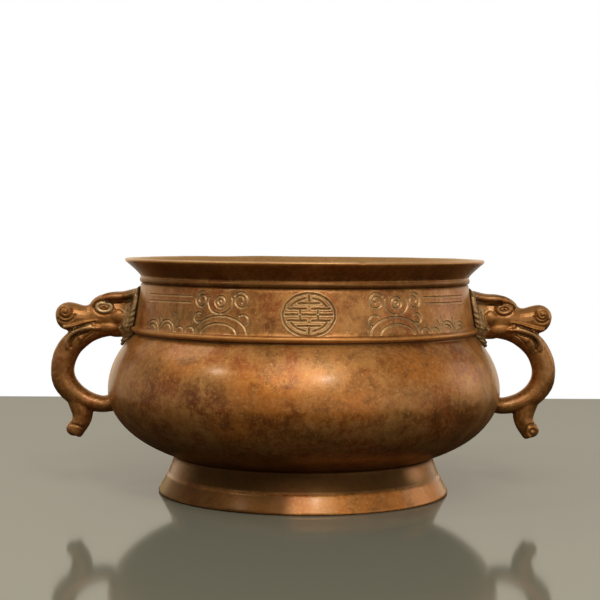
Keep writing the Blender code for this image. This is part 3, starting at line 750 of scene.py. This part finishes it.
def headLines(side):
    # lines on the head and tail: path, half width, height (negative for a groove), dirt and painted shade,
    # rubbing
    eye, nostril, tip = handle["eye"], handle["nostril"], handle["tailEnd"]
    wide, tall = handle["eyeSize"][side]
    pupil = (eye[0] + 0.1, eye[1])
    curl = handle["curlRadius"][side]
    lines = [
        (ringOf(eye, wide, tall), 0.8, handle["lidHeight"][side], 0.0, 0.35),
        (ringOf(eye, wide * 0.62, tall * 0.55), 0.6, -0.34, 0.5, 0.0),
        (ringOf(eye, wide + 1.2, tall + 1.1, 200, 340), 0.9, -0.26, 0.2, 0.0),
        ([pupil, pupil], 0.95, -0.55, 1.0, 0.0),
        # painted shadow in the hollow under the brow, deep behind the eye
        ([(88.2, 76.6), (87.3, 78.4), (85.0, 79.3), (81.6, 79.3)], 0.9, -0.5, 0.5, 0.0),
        ([(82.0, 79.4), (77.6, 79.5), (72.4, 80.2)], 1.2, -1.0, 0.9, 0.0),
        # nostril and the crescent under it
        (nostrilCurl(nostril, curl), 0.6, -0.36, 0.35, 0.0),
        (ringOf(nostril, curl + 1.3, curl + 1.2, 196, 320), 0.8, -0.45, 0.45, 0.0),
        # mouth, with a painted shadow inside the curled lip
        ([(102.4, 66.8), (100.0, 67.0), (97.0, 67.7), (93.6, 68.9), (90.4, 70.1), (87.4, 70.6)],
         0.85, -1.0, 0.9, 0.0),
        ([(90.4, 66.4), (93.4, 65.9), (96.0, 64.6), (97.4, 62.4), (97.3, 60.2)], 0.8, -0.65, 0.7, 0.0),
        ([(88.6, 66.0), (90.6, 64.7), (92.4, 62.9), (93.4, 61.0)], 0.6, -0.30, 0.3, 0.0),
    ]
    # a ring in the tail's end on the right, a painted shadow line across the tail on the left
    rings = [
        (ringOf(tip, 2.4, 2.4), 0.7, 0.30, 0.0, 0.5),
        (ringOf(tip, 1.25, 1.25), 0.6, -0.38, 0.5, 0.0),
        (ringOf(tip, 3.5, 3.5, 40, 200), 0.7, -0.45, 0.6, 0.0),
    ]
    across = [([(92.6, 26.4), (95.2, 27.4), (98.4, 28.2)], 0.7, -0.45, 0.8, 0.0)]
    return lines + (rings if side > 0 else across)


def seatOnBowl(points):
    # the back bends round the bowl, with the width of the solder between them
    seat = seatRadius(points[:, 2])
    bend = seat - np.sqrt(np.maximum(seat ** 2 - points[:, 1] ** 2, 1.0))
    away = np.abs(points[:, 0]) - seat
    outward = np.sign(points[:, 0])
    points[:, 0] -= outward * bend * (1.0 - ramp(away, 2.5, 7.0)) * (points[:, 2] > 57.0)
    floor = seat + handle["seatGap"]
    radius = np.hypot(points[:, 0], points[:, 1])
    low = radius < floor
    points[low, :2] *= (floor / np.maximum(radius, 1.0))[low, None]
    return away


def paintHandle(piece, side, flat, facing, away, grimeAndShade, rubbedAndGleam):
    # away is how far a point stands out from the bowl
    eye, (wide, tall) = handle["eye"], handle["eyeSize"][side]
    up = flat[:, 1]
    collar = bell((away - 1.2) / 4.4) * (up > 58.0)
    crests = np.maximum.reduce([bell((away - spot) / 0.55) for spot in (0.9, 1.9, 3.1, 4.3)])
    crests *= (up > 60.0) * (1.0 - ramp(up, 76.0, 79.0)) * (away > 0.3)
    # painted shade along the joint at the seat, which also takes the green
    joint = bell((away + 0.4) / 1.6) * (up > 57.0)
    eyeball = bell((np.hypot((flat[:, 0] - eye[0]) / wide, (up - eye[1]) / tall) - 0.9) / 0.42) * facing
    lipPath = np.array([(89.0, 68.6), (94.0, 67.8), (98.2, 65.0), (99.4, 61.0)])
    lip = bell(distanceToPath(flat, lipPath) / 1.4) * facing
    teeth = bell(np.hypot(flat[:, 0] - 89.6, up - 69.3) / 1.3) * facing
    face = ramp(up, 66.0, 70.0) * (1.0 - ramp(up, 78.0, 82.0)) * ramp(away, 5.0, 8.0) * facing
    pale = [0.35 * collar, 0.9 * crests, handle["eyeDust"][side] * eyeball, 0.3 * lip, 0.6 * teeth]
    paint(piece, "grimeAndShade", np.maximum(grimeAndShade, 0.8 * joint))
    paint(piece, "dustAndSheen", np.maximum.reduce(pale))
    paint(piece, "wearAndGleam", np.maximum(rubbedAndGleam, 0.35 * face))
    paint(piece, "soot", np.zeros(len(flat)))
    paint(piece, "verdigris", np.maximum(0.5 * collar, joint))


def carveHandle(piece, side):
    points, ways = readPoints(piece)
    flat = np.column_stack((np.abs(points[:, 0]), points[:, 2]))
    facing = ramp(np.abs(ways[:, 1]), 0.25, 0.7)
    move, grimeAndShade, rubbedAndGleam = np.zeros((3, len(points)))
    for path, width, height, dirtAndShade, rub in headLines(side):
        hit = bell(distanceToPath(flat, np.array(path, float)) / width) * facing
        move = move + height * hit
        grimeAndShade = np.maximum(grimeAndShade, dirtAndShade * hit)
        rubbedAndGleam = np.maximum(rubbedAndGleam, rub * hit)
    # knots along the locks of the collar, and the casting's slow unevenness
    up = flat[:, 1]
    away = flat[:, 0] - seatRadius(up)
    knots = (up > 61.0) * (1.0 - ramp(up, 75.0, 78.0)) * ramp(away, 0.3, 0.9) * bell(away / 6.0)
    move += 0.26 * knots * np.sin(up * 2.5 + away * 1.7 + np.abs(points[:, 1]) * 0.8)
    slow = roughness(points, 8.0, 5.0 * side) * 0.16 + roughness(points, 2.6, 2.0 * side) * 0.05
    points += ways * (move + slow)[:, None]
    away = seatOnBowl(points)
    writePoints(piece, points)
    paintHandle(piece, side, flat, facing, away, grimeAndShade, rubbedAndGleam)


def makeHandles():
    right = makeHandleForm()
    refineHead(right)
    right.name = "beastHandleRight"
    activate(right)
    bpy.ops.object.duplicate()
    left = bpy.context.object
    left.name = "beastHandleLeft"
    editMode()
    bpy.ops.mesh.select_all(action="SELECT")
    bpy.ops.transform.resize(value=(-1, 1, 1), center_override=(0, 0, 0))
    bpy.ops.mesh.normals_make_consistent(inside=False)
    objectMode()
    for piece, side in ((right, 1), (left, -1)):
        carveHandle(piece, side)
        applyModifier(piece, "SMOOTH", factor=0.45, iterations=2)
        bpy.ops.object.shade_smooth()
    print("handles carved:", len(right.data.polygons), "faces each")
    return right, left


# bronze

# the worn-edge colour also paints a highlight, the grime colour painted shade, the dust colour a highlight
# and rim light
finish = {
    "brown": (0.36, 0.140, 0.032), "deep": (0.15, 0.052, 0.010), "red": (0.30, 0.068, 0.012),
    "tan": (0.54, 0.262, 0.082), "gold": (0.66, 0.38, 0.14), "olive": (0.20, 0.100, 0.026),
    "amber": (0.52, 0.175, 0.026), "stain": (0.200, 0.046, 0.007), "dustAndSheen": (0.56, 0.42, 0.22),
    "wornEdgeAndGleam": (0.60, 0.25, 0.057), "grimeAndShadeColor": (0.045, 0.021, 0.006), "green": (0.20, 0.155, 0.070),
    "sootColor": (0.035, 0.024, 0.014), "charColor": (0.085, 0.050, 0.024),
    "metallic": 0.66, "roughness": 0.38, "specular": 0.22, "specularTint": (1.0, 0.78, 0.52, 1.0),
    "coat": 0.50, "coatRoughness": 0.21, "bump": 0.4, "bumpDepth": 0.00022, "handleShade": 0.82,
}
# layers of patina from the metal up: pattern, value where it starts, value where it is full,
# its share or the name of the painted share, colour
patina = [
    ("broad", 0.42, 0.62, 0.50, "tan"), ("patches", 0.50, 0.61, 0.72, "red"),
    ("patches", 0.45, 0.36, 0.55, "olive"), ("cloudy", 0.50, 0.62, 0.60, "tan"),
    ("cloudy", 0.34, 0.52, "amber", "amber"), ("cloudy", 0.62, 0.44, "stain", "stain"),
    ("cloudy", 0.49, 0.36, 0.55, "deep"), ("speckle", 0.49, 0.63, 0.44, "tan"),
    ("speckle", 0.50, 0.36, 0.38, "deep"), ("streaks", 0.54, 0.66, 0.15, "gold"),
    ("flecks", 0.59, 0.68, 0.60, "gold"),
]


def bronzeMaterial(name, shift=0.0, shade=1.0):
    material = bpy.data.materials.new(name)
    material.use_nodes = True
    tree = material.node_tree
    nodes, links = tree.nodes, tree.links
    shader = nodes["Principled BSDF"]
    shader.inputs["Metallic"].default_value = finish["metallic"]
    shader.inputs["Specular IOR Level"].default_value = finish["specular"]
    shader.inputs["Specular Tint"].default_value = finish["specularTint"]
    shader.inputs["Coat Roughness"].default_value = finish["coatRoughness"]
    place3d = nodes.new("ShaderNodeTexCoord").outputs["Object"]

    def noiseOf(scale, detail, rough=0.55, start=(0.0, 0.0, 0.0), stretch=1.0):
        shape = nodes.new("ShaderNodeMapping")
        shape.inputs["Location"].default_value = start
        shape.inputs["Scale"].default_value = (1.0, 1.0, stretch)
        links.new(place3d, shape.inputs["Vector"])
        made = nodes.new("ShaderNodeTexNoise")
        made.inputs["Scale"].default_value = scale
        made.inputs["Detail"].default_value = detail
        made.inputs["Roughness"].default_value = rough
        links.new(shape.outputs["Vector"], made.inputs["Vector"])
        return made.outputs["Fac"]

    def rampOf(value, low, high):
        made = nodes.new("ShaderNodeMapRange")
        made.interpolation_type = "SMOOTHSTEP"
        made.inputs["From Min"].default_value = low
        made.inputs["From Max"].default_value = high
        links.new(value, made.inputs["Value"])
        return made.outputs["Result"]

    def scaled(value, factor):
        made = nodes.new("ShaderNodeMath")
        made.operation = "MULTIPLY"
        links.new(value, made.inputs[0])
        if isinstance(factor, float):
            made.inputs[1].default_value = factor
        else:
            links.new(factor, made.inputs[1])
        return made.outputs[0]

    def blend(share, first, second):
        made = nodes.new("ShaderNodeMix")
        made.data_type = "RGBA"
        links.new(share, made.inputs["Factor"])
        for socket, value in ((made.inputs["A"], first), (made.inputs["B"], second)):
            if isinstance(value, tuple):
                socket.default_value = value + (1.0,)
            else:
                links.new(value, socket)
        return made.outputs["Result"]

    def painted(label):
        made = nodes.new("ShaderNodeAttribute")
        made.attribute_name = label
        return made.outputs["Fac"]

    def tone(label):
        return tuple(part * shade for part in finish[label])

    patterns = {
        "broad": noiseOf(24.0 + shift, 4.0),
        "patches": noiseOf(62.0 + shift, 6.0, 0.62, (0.31, 0.12, 0.05)),
        "cloudy": noiseOf(120.0 + shift, 8.0, 0.70, (0.07, 0.23, 0.41)),
        "speckle": noiseOf(560.0, 6.0, 0.75),
        "flecks": noiseOf(900.0, 3.0, 0.70, (0.5, 0.3, 0.9)),
        "streaks": noiseOf(520.0, 4.0, 0.65, (0.2, 0.7, 0.1), 0.14),
    }
    fine = noiseOf(2400.0, 3.0, 0.6)
    cloudy, speckle = patterns["cloudy"], patterns["speckle"]
    color = tone("brown")
    for pattern, low, high, share, label in patina:
        share = painted(share) if isinstance(share, str) else share
        color = blend(scaled(rampOf(patterns[pattern], low, high), share), color, tone(label))
    # worn edges, and a painted highlight on the foot
    color = blend(scaled(painted("wearAndGleam"), 0.75), color, finish["wornEdgeAndGleam"])
    color = blend(scaled(painted("verdigris"), rampOf(cloudy, 0.38, 0.62)), color, finish["green"])
    # grime, and painted shade in grooves, gaps and undersides
    color = blend(scaled(painted("grimeAndShade"), 0.92), color, finish["grimeAndShadeColor"])
    color = blend(scaled(painted("soot"), 0.94), color, finish["sootColor"])
    char = scaled(painted("soot"), scaled(rampOf(cloudy, 0.48, 0.60), 0.7))
    color = blend(char, color, finish["charColor"])
    # dust, and a painted highlight on the lip and painted rim light on the foot
    color = blend(scaled(painted("dustAndSheen"), rampOf(speckle, 0.28, 0.50)), color, finish["dustAndSheen"])
    links.new(color, shader.inputs["Base Color"])
    # wax on the bronze, none where the grime and painted shade lie
    clean = nodes.new("ShaderNodeMapRange")
    clean.inputs["To Min"].default_value = finish["coat"]
    clean.inputs["To Max"].default_value = 0.0
    links.new(painted("grimeAndShade"), clean.inputs["Value"])
    links.new(clean.outputs["Result"], shader.inputs["Coat Weight"])
    rough = nodes.new("ShaderNodeMapRange")
    rough.inputs["From Min"].default_value = 0.34
    rough.inputs["From Max"].default_value = 0.66
    rough.inputs["To Min"].default_value = finish["roughness"] - 0.08
    rough.inputs["To Max"].default_value = finish["roughness"] + 0.16
    patchy = nodes.new("ShaderNodeMath")
    patchy.operation = "MULTIPLY_ADD"
    patchy.inputs[1].default_value = 0.5
    links.new(cloudy, patchy.inputs[0])
    links.new(scaled(speckle, 0.5), patchy.inputs[2])
    links.new(patchy.outputs[0], rough.inputs["Value"])
    links.new(rough.outputs["Result"], shader.inputs["Roughness"])
    grain = nodes.new("ShaderNodeMath")
    grain.operation = "ADD"
    links.new(scaled(fine, 0.4), grain.inputs[0])
    links.new(speckle, grain.inputs[1])
    bump = nodes.new("ShaderNodeBump")
    bump.inputs["Strength"].default_value = finish["bump"]
    bump.inputs["Distance"].default_value = finish["bumpDepth"]
    links.new(grain.outputs[0], bump.inputs["Height"])
    links.new(bump.outputs["Normal"], shader.inputs["Normal"])
    return material


# floor, light and camera

studio = {
    "tableSeen": (0.196, 0.205, 0.171), "tableBounce": (0.050, 0.044, 0.034), "tableSize": 0.712,
    "tableShine": 0.26, "tableGloss": 0.08, "wallColor": (1.0, 0.89, 0.72), "wallPower": 0.30,
    "backPower": 0.70, "fillTurn": 140.0, "fillPower": 0.58,
    "skyColor": (1.0, 0.94, 0.84), "skyPower": 0.24, "lowPower": 0.02, "warmth": (1.0, 0.91, 0.76),
    "keyFrom": (11.2, 40.0, 1.3), "keySize": 0.14, "keyPower": 1.9,
    "sideFrom": (-61.0, 41.0, 1.3), "sideSize": 0.14, "sidePower": 1.7,
    "softFrom": (0.0, 46.0, 1.2), "softSize": 0.9, "softPower": 5.8,
    "leftFrom": (-106.0, 48.0, 1.2), "leftSize": 0.5, "leftPower": 1.4,
    "rightFrom": (106.0, 16.0, 1.2), "rightSize": 0.6, "rightPower": 1.3,
    "distance": 0.6306, "height": 0.1079, "heading": -1.25, "offAxis": -0.00185,
    "aimHeight": 0.05, "pitch": 2.52, "roll": 0.4, "lens": 90.0,
}


def addSoftLight(name, spot, size, power):
    # spot is degrees to the right of the front, degrees up, and metres away
    deselectAll()
    around, up, away = math.radians(spot[0]), math.radians(spot[1]), spot[2]
    aim = Vector((0, 0, studio["aimHeight"]))
    way = Vector((math.sin(around) * math.cos(up), -math.cos(around) * math.cos(up), math.sin(up)))
    where = way * away + aim
    bpy.ops.object.light_add(type="AREA", location=where)
    lamp = bpy.context.object
    lamp.name = name
    lamp.data.shape = "DISK"
    lamp.data.size = size
    lamp.data.energy = power
    lamp.data.color = studio["warmth"]
    lamp.rotation_euler = (aim - where).to_track_quat("-Z", "Y").to_euler()


def makeWorld():
    # white to look at; its light is a dim sky, pale walls up to eye height, and two soft glows
    world = bpy.data.worlds.new("paleWorld")
    world.use_nodes = True
    nodes, links = world.node_tree.nodes, world.node_tree.links
    way = nodes.new("ShaderNodeTexCoord")
    split = nodes.new("ShaderNodeSeparateXYZ")
    links.new(way.outputs["Generated"], split.inputs[0])

    turned = nodes.new("ShaderNodeMapping")
    turned.inputs["Rotation"].default_value = (0.0, 0.0, math.radians(studio["fillTurn"]))
    links.new(way.outputs["Generated"], turned.inputs["Vector"])
    turnedSplit = nodes.new("ShaderNodeSeparateXYZ")
    links.new(turned.outputs["Vector"], turnedSplit.inputs[0])

    def glow(color, along, low, high, first, last):
        reach = nodes.new("ShaderNodeMapRange")
        reach.interpolation_type = "SMOOTHSTEP"
        for label, value in (("From Min", low), ("From Max", high), ("To Min", first), ("To Max", last)):
            reach.inputs[label].default_value = value
        links.new(along, reach.inputs["Value"])
        made = nodes.new("ShaderNodeBackground")
        made.inputs["Color"].default_value = color + (1.0,)
        links.new(reach.outputs["Result"], made.inputs["Strength"])
        return made.outputs[0]

    def added(first, second):
        made = nodes.new("ShaderNodeAddShader")
        links.new(first, made.inputs[0])
        links.new(second, made.inputs[1])
        return made.outputs[0]

    sky = glow(studio["skyColor"], split.outputs["Z"], -0.12, 0.35, studio["lowPower"], studio["skyPower"])
    walls = glow(studio["wallColor"], split.outputs["Z"], 0.16, 0.40, studio["wallPower"], 0.0)
    back = glow(studio["wallColor"], split.outputs["Y"], 0.50, 0.90, 0.0, studio["backPower"])
    fill = glow(studio["wallColor"], turnedSplit.outputs["Y"], 0.72, 0.98, 0.0, studio["fillPower"])
    both = added(added(sky, walls), added(back, fill))
    backdrop = nodes["Background"]
    backdrop.inputs["Color"].default_value = (1.0, 1.0, 1.0, 1.0)
    seen = nodes.new("ShaderNodeLightPath")
    choose = nodes.new("ShaderNodeMixShader")
    links.new(seen.outputs["Is Camera Ray"], choose.inputs[0])
    links.new(both, choose.inputs[1])
    links.new(backdrop.outputs[0], choose.inputs[2])
    links.new(choose.outputs[0], nodes["World Output"].inputs["Surface"])
    bpy.context.scene.world = world


def tableMaterial():
    # a pale polished top with a faint mirror image, and dark in the light that it throws back at the bronze
    material = bpy.data.materials.new("paleTable")
    material.use_nodes = True
    nodes, links = material.node_tree.nodes, material.node_tree.links
    nodes.remove(nodes["Principled BSDF"])
    pale = nodes.new("ShaderNodeBsdfDiffuse")
    pale.inputs["Color"].default_value = studio["tableSeen"] + (1.0,)
    mirror = nodes.new("ShaderNodeBsdfGlossy")
    mirror.inputs["Roughness"].default_value = studio["tableGloss"]
    polished = nodes.new("ShaderNodeMixShader")
    slant = nodes.new("ShaderNodeFresnel")
    share = nodes.new("ShaderNodeMapRange")
    share.inputs["From Max"].default_value = studio["tableShine"]
    share.inputs["To Max"].default_value = studio["tableShine"]
    links.new(slant.outputs[0], share.inputs["Value"])
    links.new(share.outputs["Result"], polished.inputs[0])
    links.new(pale.outputs[0], polished.inputs[1])
    links.new(mirror.outputs[0], polished.inputs[2])
    dark = nodes.new("ShaderNodeBsdfDiffuse")
    dark.inputs["Color"].default_value = studio["tableBounce"] + (1.0,)
    seen = nodes.new("ShaderNodeLightPath")
    choose = nodes.new("ShaderNodeMixShader")
    links.new(seen.outputs["Is Camera Ray"], choose.inputs[0])
    links.new(dark.outputs[0], choose.inputs[1])
    links.new(polished.outputs[0], choose.inputs[2])
    links.new(choose.outputs[0], nodes["Material Output"].inputs["Surface"])
    return material


def makeStudio():
    deselectAll()
    bpy.ops.mesh.primitive_plane_add(size=studio["tableSize"], location=(0, 0, 0))
    table = bpy.context.object
    table.name = "paleTable"
    table.data.materials.append(tableMaterial())
    for name in ("key", "side", "soft", "right", "left"):
        addSoftLight(name + "Light", studio[name + "From"], studio[name + "Size"], studio[name + "Power"])
    makeWorld()
    bpy.context.scene.view_settings.view_transform = "Standard"
    heading, pitch = math.radians(studio["heading"]), math.radians(studio["pitch"])
    away = studio["distance"]
    spot = Vector((math.sin(heading) * away + studio["offAxis"], -math.cos(heading) * away, studio["height"]))
    bpy.ops.object.camera_add(location=spot)
    camera = bpy.context.object
    camera.name = "camera"
    camera.data.lens = studio["lens"]
    camera.data.sensor_width = 36.0
    camera.data.clip_start = 0.01
    ahead = Vector((-math.sin(heading), math.cos(heading), -math.tan(pitch)))
    level = ahead.to_track_quat("-Z", "Y")
    camera.rotation_euler = (level @ Quaternion((0, 0, 1), math.radians(studio["roll"]))).to_euler()
    bpy.context.scene.camera = camera


makeStudio()
print("studio made")
bowlPiece = makeBowl()
rightPiece, leftPiece = makeHandles()
bowlBronze = bronzeMaterial("bowlBronze")
handleBronze = bronzeMaterial("handleBronze", 9.0, finish["handleShade"])
for piece, material, node, slot in ((bowlPiece, bowlBronze, "vessel", "vessel_bronze"),
                                    (rightPiece, handleBronze, "dragon_handle_right", "handle_bronze"),
                                    (leftPiece, handleBronze, "dragon_handle_left", "handle_bronze")):
    piece.data.materials.clear()
    piece.data.materials.append(material)
    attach(piece, "root")
    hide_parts(node)
print("pieces dressed")
